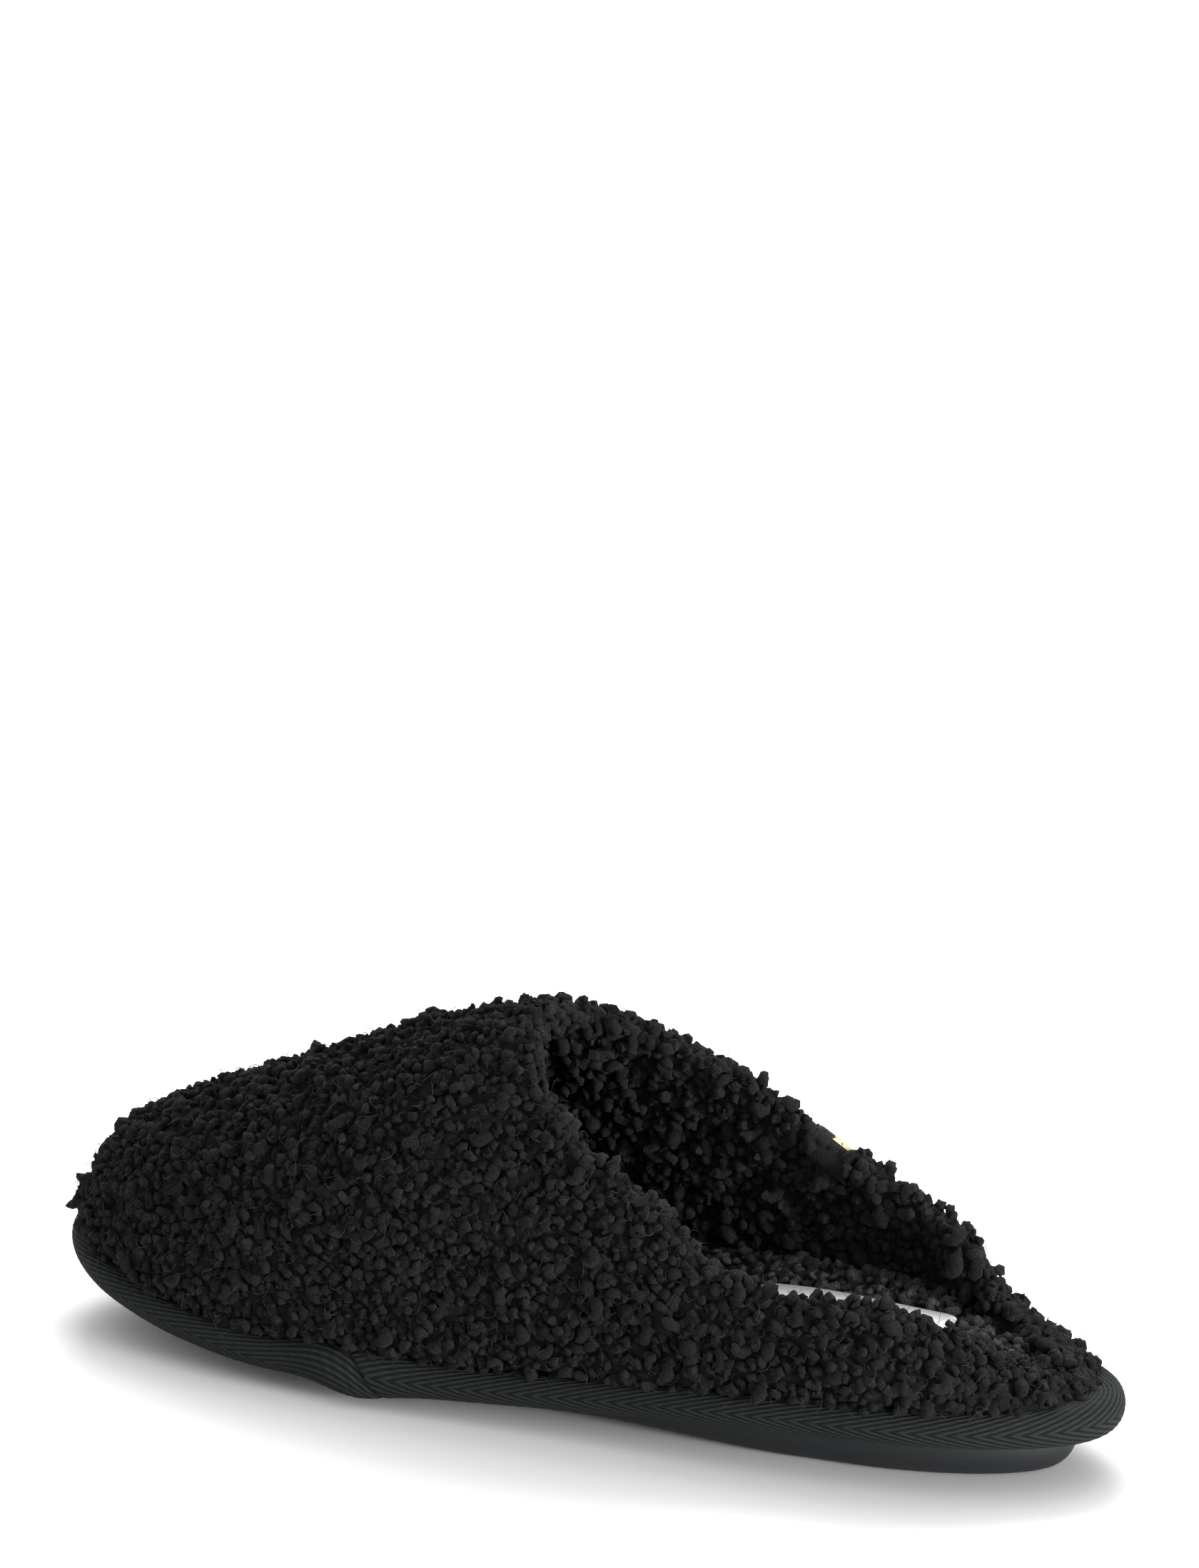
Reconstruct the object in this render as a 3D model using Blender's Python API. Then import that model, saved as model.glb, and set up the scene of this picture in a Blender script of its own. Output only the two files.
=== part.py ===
# A right house shoe: a teddy-fleece mule with a low soft heel wall, a footbed whose edge
# is bound with rolled herringbone tape, and a smooth inset outsole.
# Frame: +Y towards the toe, +X towards the outer (lateral) side, +Z up.
# The floor is z = 0 and the origin lies under the middle of the shoe.

import bpy
import bmesh
import numpy as np
from math import cos, pi, radians, sin

MM = 0.001

# Footbed, measured over the binding tape
LENGTH = 270 * MM
BALL_WIDTH = 98 * MM
HEEL_STAND = 15.0 * MM      # middle of the tape over the floor at the heel
FORE_STAND = 8.4 * MM       # the same at the ball of the foot
TOE_SPRING = 12.5 * MM      # how far the toe tip rises over the ball

# Binding tape, rolled round the edge of the footbed
TAPE_ROLL = 7.6 * MM        # height of the roll
TAPE_NOSE = 3.4 * MM        # how far the roll bulges out past its flanges
TAPE_WALL = 1.3 * MM
TAPE_TOP_FLANGE = 8.0 * MM
TAPE_BOTTOM_FLANGE = 11.5 * MM

# Outsole
SOLE_INSET = 10.5 * MM      # from the tape's edge to the outsole's side
SOLE_ROUND = 7.5 * MM       # rounding of the lower edge
SOLE_ROUND_SHARE = 0.8      # the rounding takes no more than this share of the sole's height
ARCH_LIFT = 1.6 * MM

# Upper
WALL = 6.5 * MM             # two teddy faces with padding between them
UPPER_INSET = 3.0 * MM      # from the tape's edge to the foot of the upper
COLLAR_INSET = 6.5 * MM     # how far the side walls lean in at the collar
HEEL_LEAN = 13.0 * MM       # how far the heel wall leans in at the collar
HEEL_LEAN_END = 0.20        # share of LENGTH from the heel over which its lean fades
INSTEP_HEIGHT = 78 * MM     # of the last over the tape, at the throat
THROAT = 0.555              # share of LENGTH from the heel to the throat
THROAT_START = 0.25         # share of LENGTH where the collar starts to close in
THROAT_RATE = 3.0           # powers that shape how the collar closes in plan
THROAT_TIP = 0.45
STRAIGHT_FROM = 0.36        # share of LENGTH where the columns run straight up the side walls
ROW_CROWD = 1.9             # power that crowds the outer rows towards the sole

# Insole
INSOLE_RISE = 8.0 * MM      # top of the pad over the top of the tape
INSOLE_ROUND = 3.0 * MM
INSOLE_SHARE = 0.3          # share of the pad's round and rise at its middle rings

# Label sewn on the insole, left bare
LABEL_LENGTH = 50 * MM
LABEL_WIDTH = 32 * MM
LABEL_THICK = 0.5 * MM
LABEL_START = 44 * MM       # from the heel end to the label
LABEL_SIDE = -5 * MM        # middle of the label, towards the inner side
LABEL_CORNER = 4 * MM

# Ribbon folded over the outer side of the collar
TAB_PLACE = 0.308           # share of LENGTH from the heel to the middle of the ribbon
TAB_WIDTH = 11 * MM
TAB_THICK = 1.0 * MM
TAB_OUTSIDE = 14 * MM
TAB_INSIDE = 6.5 * MM

GAP = 0.3 * MM              # clearance between neighbouring pieces
PAD_GAP = 0.8 * MM          # between the insole's side and the upper's sloping inner face

# Outline of the footbed.
# along: share of LENGTH from the heel. half: half width as a share of half of BALL_WIDTH,
# before the ends are rounded. shift: of the middle line to the outer side, share of BALL_WIDTH.
OUTLINE = (
    # along, half, shift
    (0.00, 0.69, -0.035),
    (0.10, 0.72, -0.030),
    (0.20, 0.79, -0.014),
    (0.30, 0.85, -0.008),
    (0.42, 0.88, 0.006),
    (0.55, 0.95, 0.020),
    (0.65, 1.00, 0.028),
    (0.75, 1.00, 0.036),
    (0.85, 1.00, 0.030),
    (0.93, 1.00, 0.010),
    (1.00, 1.00, -0.006),
)
HEEL_ROUND = 0.20           # shares of LENGTH taken by the elliptical ends
TOE_ROUND = 0.28

# Height of the tape's middle line over the floor, as shares of the named heights.
BED = (
    # along, heel stand, fore stand, toe spring, arch lift
    (0.00, 1.00, 0.00, 0.00, 0.0),
    (0.25, 0.95, 0.00, 0.00, 0.0),
    (0.45, 0.50, 0.34, 0.00, 1.0),
    (0.60, 0.00, 1.00, 0.00, 0.0),
    (0.72, 0.00, 1.00, 0.00, 0.0),
    (0.82, 0.00, 1.00, 0.19, 0.0),
    (0.91, 0.00, 1.00, 0.53, 0.0),
    (1.00, 0.00, 1.00, 1.00, 0.0),
)

# Height of the collar over the tape on the inner and outer side, as shares of INSTEP_HEIGHT.
# The outer wall drops steeply where it meets the heel, and the inner wall is the lower one.
COLLAR = (
    # along, inner, outer
    (0.06, 0.090, 0.090),
    (0.11, 0.175, 0.110),
    (0.155, 0.232, 0.230),
    (0.20, 0.258, 0.340),
    (0.28, 0.265, 0.440),
    (0.37, 0.440, 0.620),
    (0.46, 0.635, 0.795),
    (0.53, 0.850, 0.920),
    (0.555, 0.965, 0.980),
)

# Ridge of the vamp over the tape, from the throat to the toe, as shares of INSTEP_HEIGHT.
VAMP = (
    # along, ridge
    (0.555, 0.98),
    (0.65, 0.875),
    (0.75, 0.735),
    (0.85, 0.555),
    (0.93, 0.440),
    (1.00, 0.410),
)
VAMP_ROUND = 0.115          # share of LENGTH over which the ridge rounds down to the toe

# Mesh density
HALF_COLUMNS = 40           # columns from heel to toe on each side
OUTER_ROWS = 11
INNER_ROWS = 9
DENSE = 240


def rows_at(table, column, at):
    """Smooth values of one column of a table, read at places given in its first column."""
    x = np.array([row[0] for row in table])
    y = np.array([row[column] for row in table])
    secant = np.diff(y) / np.diff(x)
    slope = np.zeros_like(y)
    slope[0], slope[-1] = secant[0], secant[-1]
    same = secant[:-1] * secant[1:] > 0
    pair = 2 * secant[:-1] * secant[1:]
    total = np.where(same, secant[:-1] + secant[1:], 1.0)
    slope[1:-1] = np.where(same, pair / total, 0.0)
    at = np.clip(at, x[0], x[-1])
    k = np.clip(np.searchsorted(x, at, side="right") - 1, 0, len(x) - 2)
    width = x[k + 1] - x[k]
    u = (at - x[k]) / width
    return (
        y[k] * (1 + 2 * u) * (1 - u) ** 2
        + slope[k] * width * u * (1 - u) ** 2
        + y[k + 1] * u * u * (3 - 2 * u)
        + slope[k + 1] * width * u * u * (u - 1)
    )


def end_round(along, heel, toe):
    """Elliptical fall to zero over the last shares at the heel and at the toe."""
    back = np.clip(1 - along / heel, 0, 1)
    front = np.clip(1 - (1 - along) / toe, 0, 1)
    return np.sqrt(1 - back**2) * np.sqrt(1 - front**2)


def resample(line, count, marks=None):
    """Points spread along a polyline at even (or given) shares of its length."""
    step = np.linalg.norm(np.diff(line, axis=0), axis=1)
    run = np.concatenate([[0], np.cumsum(step)])
    share = np.linspace(0, 1, count + 1) if marks is None else marks
    return np.stack([np.interp(share * run[-1], run, line[:, k]) for k in range(line.shape[1])], axis=1)


def side_line(side):
    """Dense outline of one side of the footbed, from heel to toe; side is -1 inner, 1 outer."""
    along = (1 - np.cos(np.linspace(0, pi, DENSE + 1))) / 2
    half = rows_at(OUTLINE, 1, along) * BALL_WIDTH / 2 * end_round(along, HEEL_ROUND, TOE_ROUND)
    shift = rows_at(OUTLINE, 2, along) * BALL_WIDTH
    return np.stack([shift + side * half, along * LENGTH], axis=1)


def closed_ring(inner, outer):
    """One closed ring: up the inner side from the heel, back down the outer side."""
    return np.concatenate([inner[:-1], outer[:0:-1]])


def inward_normals(ring):
    """Unit normals in plan, pointing into a ring that runs heel, inner side, toe, outer side."""
    chord = np.roll(ring, -1, axis=0) - np.roll(ring, 1, axis=0)
    normal = np.stack([chord[:, 1], -chord[:, 0]], axis=1)
    return normal / np.linalg.norm(normal, axis=1)[:, None]


DENSE_RING = closed_ring(side_line(-1), side_line(1))
DENSE_NORMALS = inward_normals(DENSE_RING)
SHIFT_X = -(DENSE_RING[:, 0].max() + DENSE_RING[:, 0].min()) / 2


def inset_sides(inset):
    """Both sides of the outline moved inwards by an inset, which may vary along it."""
    moved = DENSE_RING + DENSE_NORMALS * np.broadcast_to(inset, (2 * DENSE,))[:, None]
    inner = moved[: DENSE + 1]
    outer = np.concatenate([moved[:1], moved[:DENSE - 1:-1]])
    return inner, outer


def plan_ring(inset):
    """The columns' plan points on the outline moved inwards by a fixed inset."""
    base = closed_ring(resample(side_line(-1), HALF_COLUMNS), resample(side_line(1), HALF_COLUMNS))
    nearest = ((DENSE_RING[None] - base[:, None]) ** 2).sum(2).argmin(1)
    return base + DENSE_NORMALS[nearest] * inset


def bed_height(y):
    """Height of the tape's middle line over the floor."""
    along = y / LENGTH
    return (
        rows_at(BED, 1, along) * HEEL_STAND
        + rows_at(BED, 2, along) * FORE_STAND
        + rows_at(BED, 3, along) * TOE_SPRING
    )


def floor_height(y):
    """Height of the outsole's underside over the floor: flat at heel and ball."""
    along = y / LENGTH
    return rows_at(BED, 3, along) * TOE_SPRING + rows_at(BED, 4, along) * ARCH_LIFT


def lifted(plan, lift):
    """A plan ring laid on the bed's height plus a lift."""
    return np.column_stack([plan, bed_height(plan[:, 1]) + lift])


FOOT_SIDES = inset_sides(UPPER_INSET)
SEAT = TAPE_ROLL / 2 + GAP   # the upper stands on the tape


def place_across(x, y):
    """Place in the section at y: -1 at the upper's inner foot, 0 midway, 1 at its outer foot."""
    inner, outer = FOOT_SIDES
    low = np.interp(y, inner[:, 1], inner[:, 0])
    high = np.interp(y, outer[:, 1], outer[:, 0])
    half = np.maximum((high - low) / 2, GAP)
    return np.clip((x - (low + high) / 2) / half, -1, 1)


def collar_sides():
    """Both sides of the collar in plan, from the heel's middle to the throat's middle."""
    along = DENSE_RING[:, 1] / LENGTH
    lean = HEEL_LEAN + (COLLAR_INSET - HEEL_LEAN) * np.clip(along / HEEL_LEAN_END, 0, 1) ** 2
    lines = []
    for line in inset_sides(UPPER_INSET + lean):
        share = line[:, 1] / LENGTH
        keep = share < THROAT
        share, line = share[keep], line[keep]
        closing = np.clip((share - THROAT_START) / (THROAT - THROAT_START), 0, 1) ** THROAT_RATE
        line = np.column_stack([line[:, 0] * (1 - closing) ** THROAT_TIP, line[:, 1]])
        lines.append(np.concatenate([line, [[0.0, THROAT * LENGTH]]]))
    return lines


def ridge_line(line, column):
    """Ridge of the last over the tape along y. Behind the throat it is open air, and as high
    as makes the wall reach the collar table's height where the wall leans in to the collar."""
    y = line[:, 1]
    over = rows_at(COLLAR, column, y / LENGTH) * INSTEP_HEIGHT
    ridge = over / np.sqrt(1 - place_across(line[:, 0], y) ** 2)
    turn = np.linspace(0, pi / 2, 30)
    heel = y[0] - (y[0] - UPPER_INSET) * np.cos(turn[:-1])
    tip = LENGTH - UPPER_INSET
    flat = tip - VAMP_ROUND * LENGTH
    vamp = np.concatenate([np.linspace(y[-1], flat, 60)[1:], flat + (tip - flat) * np.sin(turn[1:])])
    fall = np.sqrt(1 - np.clip((vamp - flat) / (tip - flat), 0, 1) ** 2)
    return (
        np.concatenate([heel, y, vamp]),
        np.concatenate([ridge[0] * np.sin(turn[:-1]), ridge,
                        rows_at(VAMP, 1, vamp / LENGTH) * INSTEP_HEIGHT * fall]),
    )


RIDGES = [ridge_line(line, column) for column, line in zip((1, 2), collar_sides())]


def last_height(x, y):
    """Height of the last's surface over the floor at a plan point: half an ellipse across."""
    across = place_across(x, y)
    outwards = np.clip(0.5 + across, 0, 1)
    inner, outer = (np.interp(y, *ridge) for ridge in RIDGES)
    return bed_height(y) + SEAT + (inner + (outer - inner) * outwards) * np.sqrt(1 - across**2)


def collar_ring():
    """The columns' plan points on the collar, spread so that the side walls run straight across."""
    sides = []
    for base, line in zip((side_line(-1), side_line(1)), collar_sides()):
        marks = np.linspace(0, 1, HALF_COLUMNS + 1)
        columns = resample(base, HALF_COLUMNS)
        run = np.concatenate([[0], np.cumsum(np.linalg.norm(np.diff(line, axis=0), axis=1))])
        run /= run[-1]
        own = np.interp(STRAIGHT_FROM * LENGTH, columns[:, 1], marks)
        there = np.interp(STRAIGHT_FROM * LENGTH, line[:, 1], run)
        sides.append(resample(line, HALF_COLUMNS, np.interp(marks, [0, own, 1], [0, there, 1])))
    return closed_ring(*sides)


def surface_normals(grid):
    """Outward unit normals of a grid of rings whose columns run round the shoe."""
    round_ = np.roll(grid, -1, axis=1) - np.roll(grid, 1, axis=1)
    up = np.gradient(grid, axis=0)
    up[0] = (0, 0, 1)
    normal = np.cross(up, round_)
    return normal / np.linalg.norm(normal, axis=2)[:, :, None]


def upper_grid():
    """Outer rows, rim rows and inner rows of the upper, each with its outward normals."""
    foot, collar = plan_ring(UPPER_INSET), collar_ring()
    rows = []
    for share in (np.arange(OUTER_ROWS + 1) / OUTER_ROWS) ** ROW_CROWD:
        plan = foot + (collar - foot) * share
        rows.append(np.column_stack([plan, last_height(plan[:, 0], plan[:, 1])]))
    outer = np.array(rows)
    outer_normals = surface_normals(outer)
    thick = outer - outer_normals * WALL
    thick[0, :, 2] = outer[0, :, 2]
    level = np.linspace(OUTER_ROWS, 0, INNER_ROWS + 1)
    low = np.floor(level).astype(int)
    part = (level - low)[:, None, None]
    inner = thick[low] * (1 - part) + thick[np.minimum(low + 1, OUTER_ROWS)] * part
    inner_normals = -(outer_normals[low] * (1 - part) + outer_normals[np.minimum(low + 1, OUTER_ROWS)] * part)
    edge = outer[-1] - outer[-2]
    edge /= np.linalg.norm(edge, axis=1)[:, None]
    middle = (outer[-1] + thick[-1]) / 2
    rim, rim_normals = [], []
    for angle in (45, 90, 135):
        way = cos(radians(angle)) * outer_normals[-1] + sin(radians(angle)) * edge
        rim.append(middle + way * WALL / 2)
        rim_normals.append(way)
    return outer, outer_normals, np.array(rim), np.array(rim_normals), inner, inner_normals


def new_object(name, vertices, faces, material, collection):
    """A closed mesh object in the shoe's frame, with its faces pointing out."""
    mesh = bpy.data.meshes.new(name)
    middle = np.array([SHIFT_X, -LENGTH / 2, 0])
    mesh.from_pydata([tuple(v) for v in np.asarray(vertices) + middle], [], faces)
    bm = bmesh.new()
    bm.from_mesh(mesh)
    bmesh.ops.remove_doubles(bm, verts=bm.verts, dist=0.01 * MM)
    bmesh.ops.recalc_face_normals(bm, faces=bm.faces)
    bm.to_mesh(mesh)
    bm.free()
    mesh.shade_smooth()
    mesh.set_sharp_from_angle(angle=radians(40))
    piece = bpy.data.objects.new(name, mesh)
    mesh.materials.append(material)
    collection.objects.link(piece)
    return piece


def ring_faces(rings, size, closed):
    """Quads between rings of equal size; closed joins the last ring to the first."""
    faces = []
    for row in range(rings if closed else rings - 1):
        above = (row + 1) % rings
        for k in range(size):
            after = (k + 1) % size
            faces.append((row * size + k, row * size + after, above * size + after, above * size + k))
    return faces


def bridge_faces(start, size):
    """Faces that close a ring by joining the columns of its inner side to those of its outer side."""
    faces = []
    for k in range(size // 2):
        a, b = k, k + 1
        c, d = (size - b) % size, (size - a) % size
        faces.append(tuple(start + i for i in dict.fromkeys((a, b, c, d))))
    return faces


def ring_body(name, rings, material, collection, capped):
    """A solid from rings: capped at both ends, or closed on itself like a hoop."""
    rings = np.array(rings)
    count, size = rings.shape[:2]
    faces = ring_faces(count, size, not capped)
    if capped:
        faces += bridge_faces(0, size) + bridge_faces((count - 1) * size, size)
    return new_object(name, rings.reshape(-1, 3), faces, material, collection)


def make_outsole(material, collection):
    """A smooth slab, thick under the heel, its side straight and its lower edge rounded."""
    rings = []
    top = lifted(plan_ring(SOLE_INSET), -TAPE_ROLL / 2 - GAP)
    rings.append(top)
    for angle in (0, 25, 50, 70, 90):
        turn = radians(angle)
        plan = plan_ring(SOLE_INSET + SOLE_ROUND * (1 - cos(turn)))
        ceiling = bed_height(plan[:, 1]) - TAPE_ROLL / 2 - GAP
        ground = floor_height(plan[:, 1])
        fillet = np.minimum(SOLE_ROUND, SOLE_ROUND_SHARE * (ceiling - ground))
        rings.append(np.column_stack([plan, ground + fillet * (1 - sin(turn))]))
    return ring_body("outsole", rings, material, collection, capped=True)


def roll_profile(nose, half, flange, angles):
    """Half of a rolled section: from its flange's end round the nose, as (inset, lift) pairs."""
    start = TAPE_NOSE - nose
    pairs = [(flange, half)]
    for angle in angles:
        turn = radians(angle)
        pairs.append((start + nose * (1 - cos(turn)), half * sin(turn)))
    return pairs


def make_binding(material, collection):
    """The tape: a C-shaped hoop with its roll outwards and a flange above and below."""
    half = TAPE_ROLL / 2
    outer = roll_profile(TAPE_NOSE, half, TAPE_TOP_FLANGE, (90, 60, 30, 0, -30, -60, -90))
    inner = roll_profile(TAPE_NOSE - TAPE_WALL, half - TAPE_WALL, TAPE_TOP_FLANGE, (90, 45, 0, -45, -90))
    pairs = outer + [(TAPE_BOTTOM_FLANGE, -half), (TAPE_BOTTOM_FLANGE, TAPE_WALL - half)] + inner[:0:-1]
    pairs.append(inner[0])
    rings = [lifted(plan_ring(inset), lift) for inset, lift in pairs]
    return ring_body("binding", rings, material, collection, capped=False)


def make_insole(grid, material, collection):
    """The footbed: a padded top inside the upper and a thin edge that the tape is rolled round."""
    _, _, rim, _, inner, _ = grid
    wall = np.concatenate([inner[::-1], rim[:0:-1]])
    height = np.maximum.accumulate(wall[:, :, 2], axis=0)
    row = np.arange(len(wall))

    def pad_ring(rise, back):
        plan = []
        for k in range(wall.shape[1]):
            level = np.interp(height[0, k] + rise, height[:, k], row)
            plan.append([np.interp(level, row, wall[:, k, axis]) for axis in (0, 1)])
        plan = np.array(plan)
        return plan + inward_normals(plan) * (PAD_GAP + back)

    half = TAPE_ROLL / 2 - TAPE_WALL - GAP
    top = TAPE_ROLL / 2 + INSOLE_RISE
    rings = []
    bevel, low = INSOLE_ROUND * INSOLE_SHARE, INSOLE_RISE * INSOLE_SHARE
    for back, drop in ((INSOLE_ROUND, 0.0), (bevel, bevel), (0.0, INSOLE_ROUND)):
        rings.append(lifted(pad_ring(INSOLE_RISE - drop, back), top - drop))
    rings.append(lifted(pad_ring(low, 0.0), TAPE_ROLL / 2 + low))
    rings.append(lifted(pad_ring(0.0, 0.0), half))
    edge = roll_profile(TAPE_NOSE - TAPE_WALL - GAP, half, 0.0, (90, 45, 0, -45, -90))[1:]
    heart = TAPE_BOTTOM_FLANGE + GAP
    for inset, lift in edge + [(heart, -half), (heart, -TAPE_ROLL / 2)]:
        rings.append(lifted(plan_ring(inset), lift))
    return ring_body("insole", rings, material, collection, capped=True)


def make_upper(grid, material, collection):
    """The hollow upper: outer face, rounded collar and inner face, open at the collar and below."""
    outer, _, rim, _, inner, _ = grid
    return ring_body("upper", np.concatenate([outer, rim, inner]), material, collection, capped=False)


def make_label(material, collection):
    """A thin patch with round corners that follows the bed along the heel of the insole."""
    level = TAPE_ROLL / 2 + INSOLE_RISE + GAP
    turns = np.linspace(0, pi / 2, 4)
    start = LABEL_CORNER * (1 - np.cos(turns))
    run = np.concatenate([start[:-1], np.linspace(LABEL_CORNER, LABEL_LENGTH - LABEL_CORNER, 9)])
    run = np.concatenate([run, LABEL_LENGTH - start[-2::-1]])
    depth = LABEL_CORNER - np.minimum(np.minimum(run, LABEL_LENGTH - run), LABEL_CORNER)
    half = LABEL_WIDTH / 2 - LABEL_CORNER + np.sqrt(LABEL_CORNER**2 - depth**2)
    rings = []
    for y, width in zip(LABEL_START + run, half):
        left, right = LABEL_SIDE - width, LABEL_SIDE + width
        corners = np.array([(left, y), (right, y), (right, y), (left, y)])
        rings.append(lifted(corners, level + LABEL_THICK * np.array([0, 0, 1, 1])))
    faces = ring_faces(len(rings), 4, False)
    faces += [(0, 1, 2, 3), tuple(4 * (len(rings) - 1) + k for k in range(4))]
    return new_object("insole_label", np.concatenate(rings), faces, material, collection)


def tab_section(grid, place, lift):
    """The ribbon's run over the collar at a fractional column, lifted off the upper."""
    outer, outer_normals, rim, rim_normals, inner, inner_normals = grid
    points = np.concatenate([outer, rim, inner])
    normals = np.concatenate([outer_normals, rim_normals, inner_normals])
    low, part = int(place), place - int(place)
    line = points[:, low] * (1 - part) + points[:, low + 1] * part
    way = normals[:, low] * (1 - part) + normals[:, low + 1] * part
    run = np.concatenate([[0], np.cumsum(np.linalg.norm(np.diff(line, axis=0), axis=1))])
    crest = run[OUTER_ROWS + 2]
    marks = np.concatenate([
        np.linspace(crest - TAB_OUTSIDE, run[OUTER_ROWS], 4),
        run[OUTER_ROWS + 1: OUTER_ROWS + 4],
        np.linspace(run[OUTER_ROWS + 4], crest + TAB_INSIDE, 3),
    ])
    read = [np.interp(marks, run, line[:, k]) for k in range(3)]
    turn = np.stack([np.interp(marks, run, way[:, k]) for k in range(3)], axis=1)
    turn /= np.linalg.norm(turn, axis=1)[:, None]
    return np.stack(read, axis=1) + turn * lift


def make_tab(grid, material, collection):
    """A ribbon folded over the outer side of the collar."""
    collar = grid[0][-1]
    size = len(collar)
    outer_side = np.arange(size // 2 + 1, size)
    middle = np.interp(-TAB_PLACE * LENGTH, -collar[outer_side, 1], outer_side)
    pitch = np.linalg.norm(collar[int(middle) + 1] - collar[int(middle)])
    rings = []
    for share in np.linspace(-0.5, 0.5, 5):
        place = middle + share * TAB_WIDTH / pitch
        under = tab_section(grid, place, GAP)
        over = tab_section(grid, place, GAP + TAB_THICK)
        rings.append(np.concatenate([under, over[::-1]]))
    size = len(rings[0])
    faces = ring_faces(len(rings), size, False)
    for start in (0, (len(rings) - 1) * size):
        for k in range(size // 2 - 1):
            faces.append((start + k, start + k + 1, start + size - 2 - k, start + size - 1 - k))
    return new_object("side_tab", np.concatenate(rings), faces, material, collection)


def make_material(name, colour, roughness):
    """A plain coloured surface; none of the shoe's materials is a metal."""
    material = bpy.data.materials.new(name)
    material.use_nodes = True
    shader = material.node_tree.nodes["Principled BSDF"]
    shader.inputs["Base Color"].default_value = (*colour, 1)
    shader.inputs["Roughness"].default_value = roughness
    shader.inputs["Metallic"].default_value = 0.0
    return material


def build():
    for old in list(bpy.data.objects):
        bpy.data.objects.remove(old)
    shoe = bpy.data.collections.new("house_shoe")
    bpy.context.scene.collection.children.link(shoe)
    teddy = make_material("black_teddy_fleece", (0.012, 0.012, 0.013), 0.95)
    lining = make_material("black_teddy_insole", (0.015, 0.015, 0.016), 0.95)
    tape = make_material("herringbone_tape", (0.022, 0.024, 0.023), 0.85)
    rubber = make_material("moulded_outsole", (0.024, 0.026, 0.029), 0.45)
    satin = make_material("white_woven_label", (0.80, 0.80, 0.80), 0.6)
    ribbon = make_material("grosgrain_ribbon", (0.05, 0.05, 0.052), 0.6)
    grid = upper_grid()
    make_outsole(rubber, shoe)
    make_binding(tape, shoe)
    make_insole(grid, lining, shoe)
    make_upper(grid, teddy, shoe)
    make_label(satin, shoe)
    make_tab(grid, ribbon, shoe)


build()
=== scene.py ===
# %% [markdown]
# # A right house shoe in black teddy fleece
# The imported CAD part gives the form: a hollow upper, a padded insole, a rolled tape, an
# outsole, a bare label and a ribbon. This file dresses each of them as the maker would:
# curly pile on a ground cloth, herringbone tape, satin rubber, woven label.

# %% Frame
import bmesh
import bpy
import numpy as np
from math import atan, cos, pi, radians, sin, tau
from mathutils import Matrix, Vector, noise


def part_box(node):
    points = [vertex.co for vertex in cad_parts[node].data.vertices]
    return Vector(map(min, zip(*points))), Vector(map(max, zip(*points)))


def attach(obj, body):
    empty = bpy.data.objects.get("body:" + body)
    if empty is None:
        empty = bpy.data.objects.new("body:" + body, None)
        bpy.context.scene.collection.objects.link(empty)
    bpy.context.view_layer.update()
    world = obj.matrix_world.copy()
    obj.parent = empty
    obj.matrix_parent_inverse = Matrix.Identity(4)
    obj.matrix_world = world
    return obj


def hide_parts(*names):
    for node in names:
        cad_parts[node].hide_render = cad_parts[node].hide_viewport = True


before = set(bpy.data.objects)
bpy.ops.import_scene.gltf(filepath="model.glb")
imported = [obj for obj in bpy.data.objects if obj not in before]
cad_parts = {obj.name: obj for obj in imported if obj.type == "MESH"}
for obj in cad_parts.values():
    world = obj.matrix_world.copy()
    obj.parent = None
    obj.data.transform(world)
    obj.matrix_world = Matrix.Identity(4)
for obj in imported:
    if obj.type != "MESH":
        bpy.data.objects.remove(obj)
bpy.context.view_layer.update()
MM = 0.001

# %% [markdown]
# ## Small tools
# One function turns an sRGB hex colour to linear light, one adds a node with its settings
# and links, one starts a material on its Principled shader, and the others put objects
# and materials in place. Everything else in the file is made with these.

# %% Tools
def linear(colour):
    """A hex sRGB colour as linear RGBA."""
    channels = [int(colour[k:k + 2], 16) / 255 for k in (1, 3, 5)]
    return tuple(c / 12.92 if c <= 0.04045 else ((c + 0.055) / 1.055) ** 2.4 for c in channels) + (1.0,)


def add(tree, kind, links=(), **settings):
    """Adds a node. settings are its own properties, links are (input, value or output)."""
    node = tree.nodes.new(kind)
    for name, value in settings.items():
        setattr(node, name, value)
    for socket, value in links:
        if isinstance(value, bpy.types.NodeSocket):
            tree.links.new(value, node.inputs[socket])
        else:
            node.inputs[socket].default_value = value
    return node


def new_material(name, colour, **sockets):
    """A material with its Principled shader's constant sockets set: (material, tree, shader)."""
    material = bpy.data.materials.new(name)
    material.use_nodes = True
    shader = material.node_tree.nodes["Principled BSDF"]
    shader.inputs["Base Color"].default_value = linear(colour)
    for socket, value in sockets.items():
        shader.inputs[socket.replace("_", " ")].default_value = value
    return material, material.node_tree, shader


def placed(name, data):
    """An object with this data at the origin, linked to the scene."""
    piece = bpy.data.objects.new(name, data)
    bpy.context.scene.collection.objects.link(piece)
    return piece


def covered(mesh, *materials):
    """Gives a mesh these materials and no others."""
    mesh.materials.clear()
    for material in materials:
        mesh.materials.append(material)


def new_mesh_object(name, points, faces, material, uv=None):
    """A smooth mesh object at the origin; uv gives one pair for each point."""
    mesh = bpy.data.meshes.new(name)
    mesh.from_pydata([tuple(p) for p in points], [], faces)
    if uv is not None:
        corner = np.empty(len(mesh.loops), np.int32)
        mesh.loops.foreach_get("vertex_index", corner)
        layer = mesh.uv_layers.new(name="cloth")
        layer.data.foreach_set("uv", np.asarray(uv, np.float32)[corner].ravel())
    mesh.shade_smooth()
    covered(mesh, material)
    return placed(name, mesh)


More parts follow.
